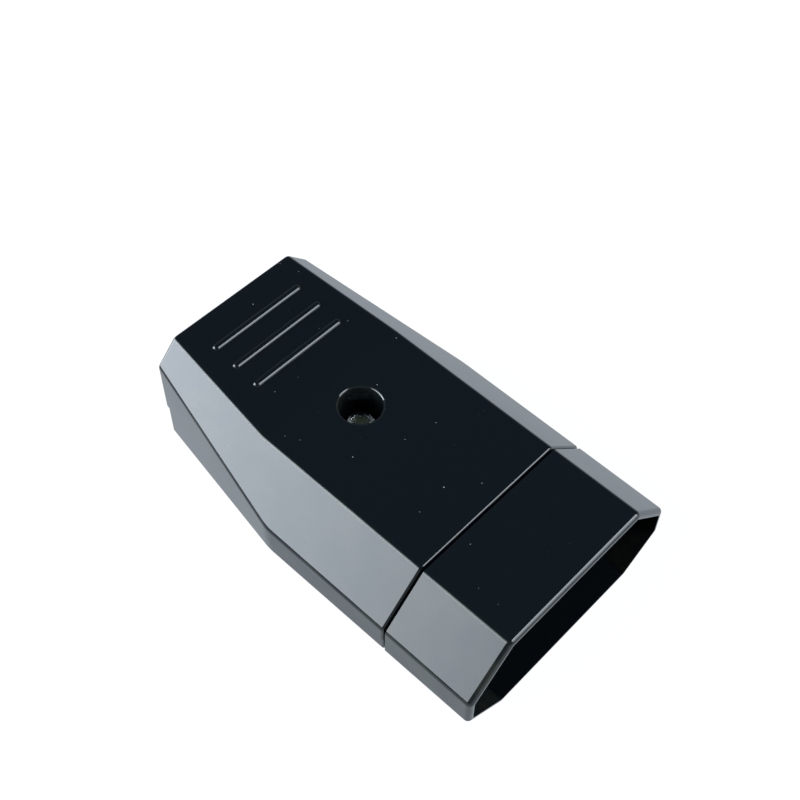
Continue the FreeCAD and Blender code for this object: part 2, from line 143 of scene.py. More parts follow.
class ScrewSettings(PropertyGroup):
    """Threads, heads and cross recesses of the screws, and the nut's thread."""
    pitch: length_property("Pitch", "Rise of the thread in one turn", 0.5 * MM)
    thread_depth: length_property("Thread depth", "From crest to root", 0.3 * MM)
    cover_radius: length_property("Cover thread", "Radius of the cover screw's thread", 1.25 * MM)
    clamp_radius: length_property("Clamp thread", "Radius of a clamp screw's thread", 1.3 * MM)
    head_height: length_property("Cover head", "Height of the cover screw's head", 1.8 * MM)
    clamp_head_height: length_property("Clamp head", "Height of a clamp screw's head", 1.7 * MM)
    crown_radius: length_property("Crown radius", "Rounding of a head's upper edge", 0.5 * MM)
    crown_rise: length_property("Crown rise", "Height of a head's middle above its edge", 0.3 * MM)
    recess_width: length_property("Recess width", "Width of the cross recess's wings", 1.3 * MM)
    recess_reach: length_property("Recess reach", "From the axis to the end of a wing", 1.35 * MM)
    recess_depth: length_property("Recess depth", "Depth of the cross recess", 0.8 * MM)
    lip_radius: length_property("Lip radius", "Rounding of the cross recess's upper edge", 0.12 * MM)
    fit: length_property("Thread fit", "Room between the screw's thread and the nut's", 0.04 * MM)


class StageSettings(PropertyGroup):
    """Camera, softboxes and floor."""
    azimuth: angle_property("Azimuth", "Camera's bearing: 0 is at -Y, and it grows towards +X", -47.59)
    elevation: angle_property("Elevation", "Camera's height above the horizon", 52.90)
    roll: angle_property("Roll", "Camera's turn about its own axis", 1.26)
    distance: length_property("Distance", "From the camera to the point that it aims at", 188.1 * MM)
    aim_across: length_property("Aim across", "X of the point that the camera aims at", 8.47 * MM)
    aim_along: length_property("Aim along", "Y of the point that the camera aims at", 6.63 * MM)
    lens: FloatProperty(name="Lens", description="Focal length", unit="CAMERA", default=58.31)
    left_box: FloatProperty(
        name="Left box", description="Radiance of the left softbox at its brighter end", default=17.2)
    front_box: FloatProperty(
        name="Front box", description="Radiance that the front softbox nears at its upper edge", default=9.8)
    box_tint: colour_property("Softbox tint", "Cool white of the softboxes", "EAF5FF")
    floor: colour_property("Floor", "Grey of the paper where the lamps light it", "505050")
    floor_seen: colour_property(
        "Floor seen", "Light that the paper adds for the eye, to come out white", "FAFAFA")
    floor_mirrored: colour_property("Floor mirrored", "Light that the paper adds in reflections", "D9E4EE")
    horizon: colour_property("Horizon", "Studio wall seen low down", "989EA4")
    ceiling: colour_property("Ceiling", "Dim studio ceiling", "485561")


# Node tools

def add(tree, kind, inputs=None, **settings):
    """Add a node, set its own settings, and fill each named input with a value or another node's output."""
    node = tree.nodes.new(kind)
    for name, value in settings.items():
        setattr(node, name, value)
    for socket, value in (inputs or {}).items():
        if isinstance(value, bpy.types.NodeSocket):
            tree.links.new(value, node.inputs[socket])
        else:
            node.inputs[socket].default_value = value
    return node


def new_material(name):
    """A material with an empty node tree, and that tree."""
    material = bpy.data.materials.new(name)
    material.use_nodes = True
    material.node_tree.nodes.clear()
    return material, material.node_tree


def grain(size):
    """Texture scale at which one blotch of a noise or one cell of a Voronoi texture is about this long."""
    return 1.0 / size


# Finishes

def dust_specks(tree, place, upright, share):
    """Mask of specks of dust where the face looks up.

    Each cell of a Voronoi pattern draws by its random red whether it holds a speck, and the cube of its
    random green is the speck's strength, so that most are faint.
    """
    spacing = 1.0 * MM
    speck_radius = 0.12  # share of the spacing
    core_radius = 0.6 * speck_radius
    cells = add(tree, "ShaderNodeTexVoronoi", {"Vector": place, "Scale": grain(spacing)})
    near = add(tree, "ShaderNodeMapRange", {
        "Value": cells.outputs["Distance"], "From Min": speck_radius, "From Max": core_radius})
    lottery = add(tree, "ShaderNodeSeparateColor", {"Color": cells.outputs["Color"]})
    drawn = add(tree, "ShaderNodeMath", {0: lottery.outputs["Red"], 1: share}, operation="LESS_THAN")
    strength = add(tree, "ShaderNodeMath", {0: lottery.outputs["Green"], 1: 3.0}, operation="POWER")
    upward = add(tree, "ShaderNodeMapRange", {"Value": upright, "From Min": 0.6, "From Max": 0.95})
    speck = add(tree, "ShaderNodeMath", {0: near.outputs["Result"], 1: strength.outputs["Value"]},
                operation="MULTIPLY")
    kept = add(tree, "ShaderNodeMath", {0: speck.outputs["Value"], 1: drawn.outputs["Value"]},
               operation="MULTIPLY")
    dust = add(tree, "ShaderNodeMath", {0: kept.outputs["Value"], 1: upward.outputs["Result"]},
               operation="MULTIPLY")
    return dust.outputs["Value"]


def rubbed_edge(tree, place, normal, blotches):
    """Mask of the rounding between the top and the left slanted side, uneven along its length.

    The rounding is found by the cosine of the angle between its middle direction and the surface's normal.
    """
    middle_direction = (-0.58, 0.0, 0.815)
    inner_end = -8 * MM  # the rounding lies further to the left than this
    facing = add(tree, "ShaderNodeVectorMath", {0: normal, 1: middle_direction}, operation="DOT_PRODUCT")
    rounding = add(tree, "ShaderNodeMapRange", {
        "Value": facing.outputs["Value"], "From Min": 0.988, "From Max": 0.996})
    across = add(tree, "ShaderNodeSeparateXYZ", {"Vector": place})
    left = add(tree, "ShaderNodeMath", {0: across.outputs["X"], 1: inner_end}, operation="LESS_THAN")
    edge = add(tree, "ShaderNodeMath", {0: rounding.outputs["Result"], 1: left.outputs["Value"]},
               operation="MULTIPLY")
    uneven = add(tree, "ShaderNodeMapRange", {
        "Value": blotches, "From Min": 0.3, "From Max": 0.6, "To Min": 0.4, "To Max": 1.0})
    wear = add(tree, "ShaderNodeMath", {0: edge.outputs["Value"], 1: uneven.outputs["Result"]},
               operation="MULTIPLY")
    return wear.outputs["Value"]


def gloss_black_moulding(finish):
    """Black ABS moulded in a polished tool.

    The eye sees sharp, slightly wavy reflections, a faint cloudy film from hands on the slanted sides,
    dull rubbed edges on the upper left, and a few specks of dust on the faces that look up.
    """
    smudge_size = 6 * MM
    wave_size = 9 * MM
    wave_height = 0.03 * MM
    peel_size = 0.8 * MM
    peel_height = 0.0008 * MM
    material, tree = new_material("gloss_black_abs")
    place = add(tree, "ShaderNodeTexCoord").outputs["Object"]
    normal = add(tree, "ShaderNodeNewGeometry").outputs["Normal"]
    upright = add(tree, "ShaderNodeSeparateXYZ", {"Vector": normal}).outputs["Z"]
    smudge = add(tree, "ShaderNodeTexNoise", {
        "Vector": place, "Scale": grain(smudge_size), "Detail": 6.0, "Roughness": 0.62, "Distortion": 0.6})
    dust = dust_specks(tree, place, upright, finish.dust_share)
    wear = rubbed_edge(tree, place, normal, smudge.outputs["Fac"])

    slanted = add(tree, "ShaderNodeMapRange", {"Value": upright, "From Min": 0.95, "From Max": 0.8})
    clouds = add(tree, "ShaderNodeMapRange", {
        "Value": smudge.outputs["Fac"], "From Min": 0.42, "From Max": 0.64})
    film = add(tree, "ShaderNodeMath", {0: slanted.outputs["Result"], 1: clouds.outputs["Result"]},
               operation="MULTIPLY")
    filmed = add(tree, "ShaderNodeMix", {
        "Factor": film.outputs["Value"], "A": opaque(finish.moulding), "B": opaque(finish.film)},
        data_type="RGBA")
    edged = add(tree, "ShaderNodeMix", {
        "Factor": wear, "A": filmed.outputs["Result"], "B": opaque(finish.rubbed)}, data_type="RGBA")
    colour = add(tree, "ShaderNodeMix", {
        "Factor": dust, "A": edged.outputs["Result"], "B": opaque(finish.dust)}, data_type="RGBA")

    handled = add(tree, "ShaderNodeMapRange", {
        "Value": smudge.outputs["Fac"], "From Min": 0.35, "From Max": 0.75, "To Min": 0.05, "To Max": 0.14})
    rough = add(tree, "ShaderNodeMath", {0: handled.outputs["Result"], 1: dust}, operation="MAXIMUM")
    wave = add(tree, "ShaderNodeTexNoise", {"Vector": place, "Scale": grain(wave_size), "Detail": 1.0})
    peel = add(tree, "ShaderNodeTexNoise", {"Vector": place, "Scale": grain(peel_size), "Detail": 1.0})
    sunk = add(tree, "ShaderNodeBump", {
        "Strength": 1.0, "Distance": wave_height, "Height": wave.outputs["Fac"]})
    peeled = add(tree, "ShaderNodeBump", {
        "Strength": 1.0, "Distance": peel_height, "Height": peel.outputs["Fac"],
        "Normal": sunk.outputs["Normal"]})
    shader = add(tree, "ShaderNodeBsdfPrincipled", {
        "Base Color": colour.outputs["Result"], "Roughness": rough.outputs["Value"], "IOR": PLASTIC_IOR,
        "Normal": peeled.outputs["Normal"]})
    add(tree, "ShaderNodeOutputMaterial", {"Surface": shader.outputs["BSDF"]})
    return material


def matt_black_moulding(finish):
    """Black polyamide moulded in a spark-eroded tool: an even, fine grain with a dull sheen."""
    spark_size = 0.25 * MM
    spark_height = 0.02 * MM
    spark_gain = 2.2  # light of a pale spot as a share of the black's
    material, tree = new_material("spark_eroded_polyamide")
    place = add(tree, "ShaderNodeTexCoord").outputs["Object"]
    sparks = add(tree, "ShaderNodeTexNoise", {"Vector": place, "Scale": grain(spark_size), "Detail": 3.0})
    colour = add(tree, "ShaderNodeMix", {
        "Factor": sparks.outputs["Fac"], "A": opaque(finish.clamp),
        "B": opaque(shaded(finish.clamp, spark_gain))}, data_type="RGBA")
    rough = add(tree, "ShaderNodeMapRange", {
        "Value": sparks.outputs["Fac"], "To Min": 0.42, "To Max": 0.6})
    bump = add(tree, "ShaderNodeBump", {
        "Strength": 0.6, "Distance": spark_height, "Height": sparks.outputs["Fac"]})
    shader = add(tree, "ShaderNodeBsdfPrincipled", {
        "Base Color": colour.outputs["Result"], "Roughness": rough.outputs["Result"], "IOR": PLASTIC_IOR,
        "Normal": bump.outputs["Normal"]})
    add(tree, "ShaderNodeOutputMaterial", {"Surface": shader.outputs["BSDF"]})
    return material


def drawn_metal(name, clean, stained, line_spacing, stain_size, roughness):
    """Metal with tool lines across its length, which runs along Y, and stains in patches.

    The lines are a sine of the way along, bent a little by noise. The real tool marks are about 0.05 mm
    apart; they are drawn coarser here so that they show.
    """
    line_height = 0.004 * MM
    stain_roughness = 0.15
    wave_period = math.pi / 10  # spacing of the wave texture's lines at a scale of 1
    material, tree = new_material(name)
    place = add(tree, "ShaderNodeTexCoord").outputs["Object"]
    stain = add(tree, "ShaderNodeTexNoise", {"Vector": place, "Scale": grain(stain_size), "Detail": 5.0})
    patch = add(tree, "ShaderNodeMapRange", {
        "Value": stain.outputs["Fac"], "From Min": 0.45, "From Max": 0.75})
    colour = add(tree, "ShaderNodeMix", {
        "Factor": patch.outputs["Result"], "A": opaque(clean), "B": opaque(stained)}, data_type="RGBA")
    lines = add(tree, "ShaderNodeTexWave", {
        "Vector": place, "Scale": grain(line_spacing) * wave_period, "Distortion": 1.5, "Detail": 2.0},
        bands_direction="Y")
    rough = add(tree, "ShaderNodeMapRange", {
        "Value": stain.outputs["Fac"], "To Min": roughness, "To Max": roughness + stain_roughness})
    bump = add(tree, "ShaderNodeBump", {
        "Strength": 0.5, "Distance": line_height, "Height": lines.outputs["Fac"]})
    shader = add(tree, "ShaderNodeBsdfPrincipled", {
        "Base Color": colour.outputs["Result"], "Metallic": 1.0, "Roughness": rough.outputs["Result"],
        "Normal": bump.outputs["Normal"]})
    add(tree, "ShaderNodeOutputMaterial", {"Surface": shader.outputs["BSDF"]})
    return material


def zinc_plate(finish):
    """Steel with a bright zinc plating, made once and shared.

    The eye sees small patches of greenish passivation, crystals that glint, and dull olive dirt where
    little open sky reaches, as in thread roots, and at the points of a recess, which carry an attribute.
    That olive is partly painted light: it is paler than the dirt's own, to stand in for light that
    does not reach down into the well.
    The real crystals are about 0.05 mm long; they are drawn coarser here so that they show.
    """
    made = bpy.data.materials.get(ZINC)
    if made:
        return made
    patch_size = 0.9 * MM
    crystal_size = 0.3 * MM
    crystal_height = 0.05 * MM
    grime_reach = 0.8 * MM
    grime_roughness = 0.9
    material, tree = new_material(ZINC)
    place = add(tree, "ShaderNodeTexCoord").outputs["Object"]
    patch = add(tree, "ShaderNodeTexNoise", {"Vector": place, "Scale": grain(patch_size), "Detail": 4.0})
    tinted = add(tree, "ShaderNodeMapRange", {
        "Value": patch.outputs["Fac"], "From Min": 0.35, "From Max": 0.65})
    colour = add(tree, "ShaderNodeMix", {
        "Factor": tinted.outputs["Result"], "A": opaque(finish.zinc), "B": opaque(finish.passivation)},
        data_type="RGBA")
    open_sky = add(tree, "ShaderNodeAmbientOcclusion", {"Distance": grime_reach},
                   samples=8, only_local=True)
    swept = add(tree, "ShaderNodeMapRange", {
        "Value": open_sky.outputs["AO"], "From Min": 0.4, "From Max": 0.8})
    recess_mark = add(tree, "ShaderNodeAttribute", attribute_name=RECESS_DIRT_AND_LIGHT).outputs["Fac"]
    clean = add(tree, "ShaderNodeMath", {0: swept.outputs["Result"], 1: recess_mark}, operation="SUBTRACT",
                use_clamp=True)
    # Olive dirt where little open sky reaches and in the recess. Its colour is partly painted light, paler
    # than the dirt's own, so that the dim well does not leave it dark.
    grime_and_light_colour = add(tree, "ShaderNodeMix", {
        "Factor": clean.outputs["Value"], "A": opaque(finish.grime_and_painted_light), "B": colour.outputs["Result"]},
        data_type="RGBA")
    crystals = add(tree, "ShaderNodeTexVoronoi", {"Vector": place, "Scale": grain(crystal_size)})
    bright = add(tree, "ShaderNodeMapRange", {
        "Value": patch.outputs["Fac"], "To Min": 0.16, "To Max": 0.34})
    rough = add(tree, "ShaderNodeMapRange", {
        "Value": clean.outputs["Value"], "To Min": grime_roughness, "To Max": bright.outputs["Result"]})
    bump = add(tree, "ShaderNodeBump", {
        "Strength": 1.0, "Distance": crystal_height, "Height": crystals.outputs["Distance"]})
    shader = add(tree, "ShaderNodeBsdfPrincipled", {
        "Base Color": grime_and_light_colour.outputs["Result"], "Metallic": clean.outputs["Value"],
        "Roughness": rough.outputs["Result"], "Normal": bump.outputs["Normal"]})
    add(tree, "ShaderNodeOutputMaterial", {"Surface": shader.outputs["BSDF"]})
    return material


def white_paper(stage):
    """Matt white paper. What the eye sees is lifted to white, what a reflection sees to a cool pale grey.

    The lift is the same all over, so the shadow stays. From below the sheet is clear, so that the
    underside can be looked at.
    """
    fibre_size = 0.6 * MM
    fibre_shade = 0.97  # light of a fibre's shadow as a share of the paper's
    material, tree = new_material("white_paper")
    place = add(tree, "ShaderNodeTexCoord").outputs["Object"]
    fibre = add(tree, "ShaderNodeTexNoise", {"Vector": place, "Scale": grain(fibre_size), "Detail": 2.0})
    colour = add(tree, "ShaderNodeMix", {
        "Factor": fibre.outputs["Fac"], "A": opaque(shaded(stage.floor, fibre_shade)),
        "B": opaque(stage.floor)}, data_type="RGBA")
    path = add(tree, "ShaderNodeLightPath").outputs
    seen = add(tree, "ShaderNodeMath", {0: path["Is Camera Ray"], 1: path["Is Glossy Ray"]},
               operation="MAXIMUM")
    lifted = add(tree, "ShaderNodeMath", {0: seen.outputs["Value"], 1: path["Is Transmission Ray"]},
                 operation="MAXIMUM")
    white = add(tree, "ShaderNodeMix", {
        "Factor": path["Is Camera Ray"], "A": opaque(stage.floor_mirrored), "B": opaque(stage.floor_seen)},
        data_type="RGBA")
    matt = add(tree, "ShaderNodeBsdfDiffuse", {"Color": colour.outputs["Result"]})
    lift = add(tree, "ShaderNodeEmission", {
        "Color": white.outputs["Result"], "Strength": lifted.outputs["Value"]})
    both = add(tree, "ShaderNodeAddShader", {0: matt.outputs["BSDF"], 1: lift.outputs["Emission"]})
    below = add(tree, "ShaderNodeNewGeometry").outputs["Backfacing"]
    clear = add(tree, "ShaderNodeBsdfTransparent")
    sheet = add(tree, "ShaderNodeMixShader", {
        0: below, 1: both.outputs["Shader"], 2: clear.outputs["BSDF"]})
    add(tree, "ShaderNodeOutputMaterial", {"Surface": sheet.outputs["Shader"]})
    return material


def dress(nodes, material):
    """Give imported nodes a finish, and leave their meshes as they are."""
    for node in nodes:
        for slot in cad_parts[node].material_slots:
            slot.material = material


# Surfaces

RINGS_PER_TURN = 14  # rings of a thread's surface in one turn


def mesh_object(name, points, faces, material, crease_degrees):
    """An object of one smooth mesh, with the edges that turn by more than the crease angle kept sharp."""
    mesh = bpy.data.meshes.new(name)
    mesh.from_pydata(points.tolist(), [], faces)
    mesh.polygons.foreach_set("use_smooth", np.ones(len(mesh.polygons), dtype=bool))
    mesh.set_sharp_from_angle(angle=math.radians(crease_degrees))
    mesh.materials.append(material)
    piece = bpy.data.objects.new(name, mesh)
    bpy.context.scene.collection.objects.link(piece)
    return piece


def ring_quads(rings, columns, first=0, looped=False):
    """Quads between neighbouring rings of equal length, whose points start at the first number.

    Looped rings also join the last ring to the first, as on a tyre.
    """
    here = np.arange(columns)
    after = (here + 1) % columns
    order = np.arange(rings if looped else rings - 1)[:, None]
    start = first + columns * order
    onward = first + columns * ((order + 1) % rings)
    quads = np.stack([start + here, start + after, onward + after, onward + here], -1)
    return quads.reshape(-1, 4).tolist()


def fan(start, columns, hub):
    """Triangles that close a ring, whose points begin at start, with one point more."""
    here = np.arange(columns)
    after = (here + 1) % columns
    return np.stack([start + here, start + after, np.full(columns, hub)], -1)


def capped_faces(rings, columns):
    """Faces of rings between two end points: quads between the rings, and a fan at each end.

    The points are the low end, then the rings from low to high, then the high end.
    """
    high_end = 1 + rings * columns
    low_fan = fan(1, columns, hub=0)[:, ::-1]
    high_fan = fan(high_end - columns, columns, high_end)
    return ring_quads(rings, columns, first=1) + low_fan.tolist() + high_fan.tolist()


def thread_groove(angles, heights, pitch):
    """Depth of a screw thread from 0 at its crest to 1 at its root.

    The way round the helix is the height in pitches less the angle in turns; its fractional part gives a
    triangle wave, cut off flat at the crest and at the root.
    """
    steepness = 1.3
    crest_flat = 0.15
    way = (heights / pitch - angles / TURN) % 1.0
    return np.clip(steepness * np.abs(2 * way - 1) - crest_flat, 0.0, 1.0)


def cross_outline(angles, half_width, reach):
    """Radius of a plus sign seen from its middle: the further of the two bars' edges in each direction."""
    least = 1e-9  # keeps the divisions finite
    across = np.maximum(np.abs(np.cos(angles)), least)
    along = np.maximum(np.abs(np.sin(angles)), least)
    level_bar = np.minimum(reach / across, half_width / along)
    upright_bar = np.minimum(half_width / across, reach / along)
    return np.maximum(level_bar, upright_bar)


def cross_angles(half_width, reach, steps):
    """Even steps round the circle, where those close to a plus sign's corners give way to the corners."""
    close = 0.3 * TURN / steps
    corner = math.atan2(half_width, reach)
    quarters = np.arange(4) * math.pi / 2
    corners = np.concatenate([quarters - corner, quarters + corner]) % TURN
    even = np.arange(steps) * TURN / steps
    far = np.abs(even[:, None] - corners[None, :]).min(1) > close
    return np.sort(np.concatenate([even[far], corners]))


def shank_rings(angles, low, seat, crest_radius, sizes):
    """Radii and heights of a threaded shank, from its tip to the head's seat.

    The radius is the thread's crest less its groove, which fades in at the tip and out under the head.
    """
    rows = max(2, round((seat - low) / sizes.pitch * RINGS_PER_TURN))
    heights = np.linspace(low, seat, rows)[:, None]
    fade = np.clip(np.minimum(heights - low, seat - heights) / sizes.pitch, 0.0, 1.0)
    lead = np.clip(1 - (heights - low) / sizes.pitch, 0.0, 1.0)
    groove = thread_groove(angles[None, :], heights, sizes.pitch)
    radii = crest_radius - sizes.thread_depth * np.maximum(groove * fade, lead)
    return radii, np.repeat(heights, len(angles), axis=1)


def head_rings(angles, seat, high, head_radius, sizes):
    """Radii and heights of a head's seat, side and rounded upper edge, which is a quarter of a circle."""
    edge_break = 0.1 * MM
    crown_rings = 8
    bend = np.linspace(0.0, math.pi / 2, crown_rings)[:, None]
    flat_radius = head_radius - sizes.crown_radius
    rim_height = high - sizes.crown_rise
    side = np.array([
        [flat_radius, seat], [head_radius - edge_break, seat], [head_radius, seat + edge_break]])
    crown = np.hstack([flat_radius + sizes.crown_radius * np.cos(bend),
                       rim_height - sizes.crown_radius * (1 - np.sin(bend))])
    turned = np.vstack([side, crown])
    return np.repeat(turned[:, :1], len(angles), axis=1), np.repeat(turned[:, 1:], len(angles), axis=1)


def land_and_lip_rings(cross, high, flat_radius, sizes):
    """Radii and heights of a head's dome and of the rounding that leads from it into the recess.

    The dome's height falls with the square of the radius. Its rings blend from a circle to the outline of
    the cross, and a quarter of a circle then turns that outline down.
    """
    land_rings = 6
    lip_rings = 5
    blend = np.linspace(0.0, 1.0, land_rings + 1)[1:, None]
    land = (1 - blend) * flat_radius + blend * (cross[None, :] + sizes.lip_radius)
    land_heights = high - sizes.crown_rise * (land / flat_radius) ** 2
    bend = np.linspace(0.0, math.pi / 2, lip_rings + 1)[1:, None]
    lip = cross[None, :] + sizes.lip_radius * (1 - np.sin(bend))
    lip_heights = land_heights[-1:] - sizes.lip_radius * (1 - np.cos(bend))
    return np.vstack([land, lip]), np.vstack([land_heights, lip_heights])


def recess_rings(cross, high, lip_heights, sizes):
    """Radii and heights of a recess: a wall that leans inwards, and a floor that dips in the middle."""
    outline_shares = np.array([0.8, 0.74, 0.35])[:, None]
    depth_shares = np.array([0.9, 1.0, 1.08])[:, None]
    floor_height = high - sizes.recess_depth
    return cross[None, :] * outline_shares, lip_heights + depth_shares * (floor_height - lip_heights)


def screw_points(axis, low, high, head_radius, head_height, shank_radius, sizes):
    """Points of a pan-headed screw with a cross recess, from its tip up to the middle of the recess.

    Every ring is a radius and a height over the angle. Also returns the number of rings and of points in
    a ring, and which points lie in the recess.
    """
    steps = 64
    half_width = sizes.recess_width / 2
    angles = cross_angles(half_width, sizes.recess_reach, steps)
    cross = cross_outline(angles, half_width, sizes.recess_reach)
    seat = high - head_height
    shank = shank_rings(angles, low, seat, shank_radius, sizes)
    head = head_rings(angles, seat, high, head_radius, sizes)
    land = land_and_lip_rings(cross, high, head_radius - sizes.crown_radius, sizes)
    recess = recess_rings(cross, high, land[1][-1:], sizes)
    radius, height = (np.vstack(stretch) for stretch in zip(shank, head, land, recess))

    rings = np.stack([axis[0] + radius * np.cos(angles), axis[1] + radius * np.sin(angles), height], -1)
    tip = [[axis[0], axis[1], low]]
    middle = [[axis[0], axis[1], height[-1].min()]]
    points = np.vstack([tip, rings.reshape(-1, 3), middle])
    in_recess = np.arange(len(points)) >= len(points) - recess[0].size - len(middle)
    return points, len(radius), len(angles), in_recess


def nut_points(axis, low, high, flats, turn, bore_radius, sizes):
    """Points of a chamfered hexagon nut whose bore is the screw's own thread with a little more room.

    A ring's outer radius is half the width across flats over the cosine of the angle from the nearest
    flat's middle, held inside a cone near each face. The rings go up the outside and down the bore.
    """
    columns = 96
    edge_rings = 12
    chamfer_slope = math.sqrt(3)
    face_radius = 0.48 * flats
    edge_height = 0.25 * (high - low)
    lead_height = 0.35 * MM
    lead_reach = 0.2 * MM
    sixth = TURN / 6
    angles = np.arange(columns) * TURN / columns
    from_flat = (angles - turn + sixth / 2) % sixth - sixth / 2
    hexagon = flats / 2 / np.cos(from_flat)
    eased = np.linspace(0.0, 1.0, edge_rings) ** 2
    outer_heights = np.concatenate([low + edge_height * eased, high - edge_height * eased[::-1]])[:, None]
    from_face = np.minimum(outer_heights - low, high - outer_heights)
    outer = np.minimum(hexagon[None, :], face_radius + chamfer_slope * from_face)

    rows = round((high - low) / sizes.pitch * RINGS_PER_TURN)
    bore_heights = np.linspace(high, low, rows)[:, None]
    groove = thread_groove(angles[None, :], bore_heights, sizes.pitch)
    thread = bore_radius + sizes.fit - sizes.thread_depth * groove
    lead = lead_height - np.minimum(bore_heights - low, high - bore_heights)
    bore = np.maximum(thread, bore_radius + np.minimum(lead, lead_reach))

    radius = np.vstack([outer, bore])
    height = np.repeat(np.vstack([outer_heights, bore_heights]), columns, axis=1)
    points = np.stack([axis[0] + radius * np.cos(angles), axis[1] + radius * np.sin(angles), height], -1)
    return points.reshape(-1, 3), len(radius), columns


def fasten(piece, node):
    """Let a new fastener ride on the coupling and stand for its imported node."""
    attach(piece, BODY)
    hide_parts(node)


def make_screw(name, node, axis, head_radius, head_height, shank_radius, context):
    """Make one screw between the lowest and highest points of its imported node."""
    low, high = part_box(node)
    points, rings, columns, in_recess = screw_points(
        axis, low.z, high.z, head_radius, head_height, shank_radius, context.scene.coupling_screws)
    plating = zinc_plate(context.scene.coupling_finish)
    piece = mesh_object(name, points, capped_faces(rings, columns), plating, crease_degrees=40)
    dirt = piece.data.attributes.new(RECESS_DIRT_AND_LIGHT, "FLOAT", "POINT")
    dirt.data.foreach_set("value", in_recess.astype(np.float32))
    fasten(piece, node)


# Operators

class COUPLING_OT_finish_mouldings(Operator):
    """Give the nose and both shells their gloss black finish"""
    bl_idname = "coupling.finish_mouldings"
    bl_label = "Finish mouldings"

    def execute(self, context):
        dress(MOULDINGS, gloss_black_moulding(context.scene.coupling_finish))
        return {"FINISHED"}


class COUPLING_OT_finish_clamp(Operator):
    """Give the cord clamp its matt black finish"""
    bl_idname = "coupling.finish_clamp"
    bl_label = "Finish cord clamp"

    def execute(self, context):
        dress(["cord_clamp"], matt_black_moulding(context.scene.coupling_finish))
        return {"FINISHED"}


class COUPLING_OT_finish_contacts(Operator):
    """Give the contacts turned brass, their springs drawn steel and their screws zinc plating"""
    bl_idname = "coupling.finish_contacts"
    bl_label = "Finish contacts"

    def execute(self, context):
        finish = context.scene.coupling_finish
        dress(CONTACTS, drawn_metal(
            "turned_brass", clean=finish.brass, stained=finish.tarnish, line_spacing=0.2 * MM,
            stain_size=2.5 * MM, roughness=0.2))
        dress(SPRINGS, drawn_metal(
            "drawn_spring_steel", clean=finish.spring, stained=shaded(finish.spring, 0.6),
            line_spacing=0.3 * MM, stain_size=1.5 * MM, roughness=0.25))
        dress(["terminal_screws"], zinc_plate(finish))
        return {"FINISHED"}


class COUPLING_OT_make_cover_screw(Operator):
    """Make the threaded cover screw at the bottom of the well"""
    bl_idname = "coupling.make_cover_screw"
    bl_label = "Make cover screw"

    def execute(self, context):
        sizes = context.scene.coupling_screws
        low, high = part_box("cover_screw")
        make_screw("cover_screw_threaded", "cover_screw", axis=(low + high) / 2,
                   head_radius=(high.x - low.x) / 2, head_height=sizes.head_height,
                   shank_radius=sizes.cover_radius, context=context)
        return {"FINISHED"}


class COUPLING_OT_make_clamp_screws(Operator):
    """Make the two threaded screws of the cord clamp"""
    bl_idname = "coupling.make_clamp_screws"
    bl_label = "Make clamp screws"

    def execute(self, context):
        sizes = context.scene.coupling_screws
        low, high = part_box("clamp_screws")
        head_radius = (high.y - low.y) / 2
        middle = (low.y + high.y) / 2
        for side, across in (("left", low.x + head_radius), ("right", high.x - head_radius)):
            make_screw(f"clamp_screw_{side}", "clamp_screws", axis=(across, middle),
                       head_radius=head_radius, head_height=sizes.clamp_head_height,
                       shank_radius=sizes.clamp_radius, context=context)
        return {"FINISHED"}


class COUPLING_OT_make_cover_nut(Operator):
    """Make the threaded hexagon nut in its pocket under the lower shell"""
    bl_idname = "coupling.make_cover_nut"
    bl_label = "Make cover nut"

    def execute(self, context):
        sizes = context.scene.coupling_screws
        low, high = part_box("cover_nut")
        size = high - low
        turn = 0.0 if size.x < size.y else TURN / 4
        points, rings, columns = nut_points(
            (low + high) / 2, low.z, high.z, min(size.x, size.y), turn, sizes.cover_radius, sizes)
        piece = mesh_object("cover_nut_threaded", points, ring_quads(rings, columns, looped=True),
                            zinc_plate(context.scene.coupling_finish), crease_degrees=25)
        fasten(piece, "cover_nut")
        return {"FINISHED"}


# Stage

class Softbox(NamedTuple):
    """Place, size and fading of a lamp. Angles are in degrees, and shares of its height count upwards."""
    azimuth: float
    elevation: float
    turn: float
    width: float
    height: float
    distance: float
    dim_end: float      # share of the light that is left at the far end of its width
    dark_share: float   # share of its height at which the light has faded out
    full_share: float   # share of its height at which the light is full


SOFTBOXES = {
    "left_box": Softbox(azimuth=-125, elevation=29, turn=14, width=0.70, height=0.42, distance=0.6,
                        dim_end=0.2, dark_share=1.05, full_share=0.5),
    "front_box": Softbox(azimuth=34, elevation=26, turn=0, width=0.38, height=0.53, distance=0.6,
                         dim_end=1.0, dark_share=-0.35, full_share=1.15),
}
FLOOR_RADIUS = 3.0
FLOOR_DROP = 0.05 * MM
CLIP_START = 10 * MM


def bearing(azimuth, elevation):
    """Unit vector from the coupling towards a bearing: azimuth 0 is at -Y, and it grows towards +X."""
    return Vector((math.sin(azimuth) * math.cos(elevation), -math.cos(azimuth) * math.cos(elevation),
                   math.sin(elevation)))


def make_floor(stage):
    """A flat round sheet just under the coupling: rings of falling radius about a middle point."""
    columns = 96
    radii = FLOOR_RADIUS * np.array([1.0, 0.4, 0.1, 0.02])[:, None]
    angles = np.arange(columns) * TURN / columns
    level = np.full((len(radii), columns), -FLOOR_DROP)
    rings = np.stack([radii * np.cos(angles), radii * np.sin(angles), level], -1)
    points = np.vstack([rings.reshape(-1, 3), [[0.0, 0.0, -FLOOR_DROP]]])
    hub = level.size
    faces = ring_quads(len(radii), columns) + fan(hub - columns, columns, hub).tolist()
    mesh_object("floor", points, faces, white_paper(stage), crease_degrees=30)


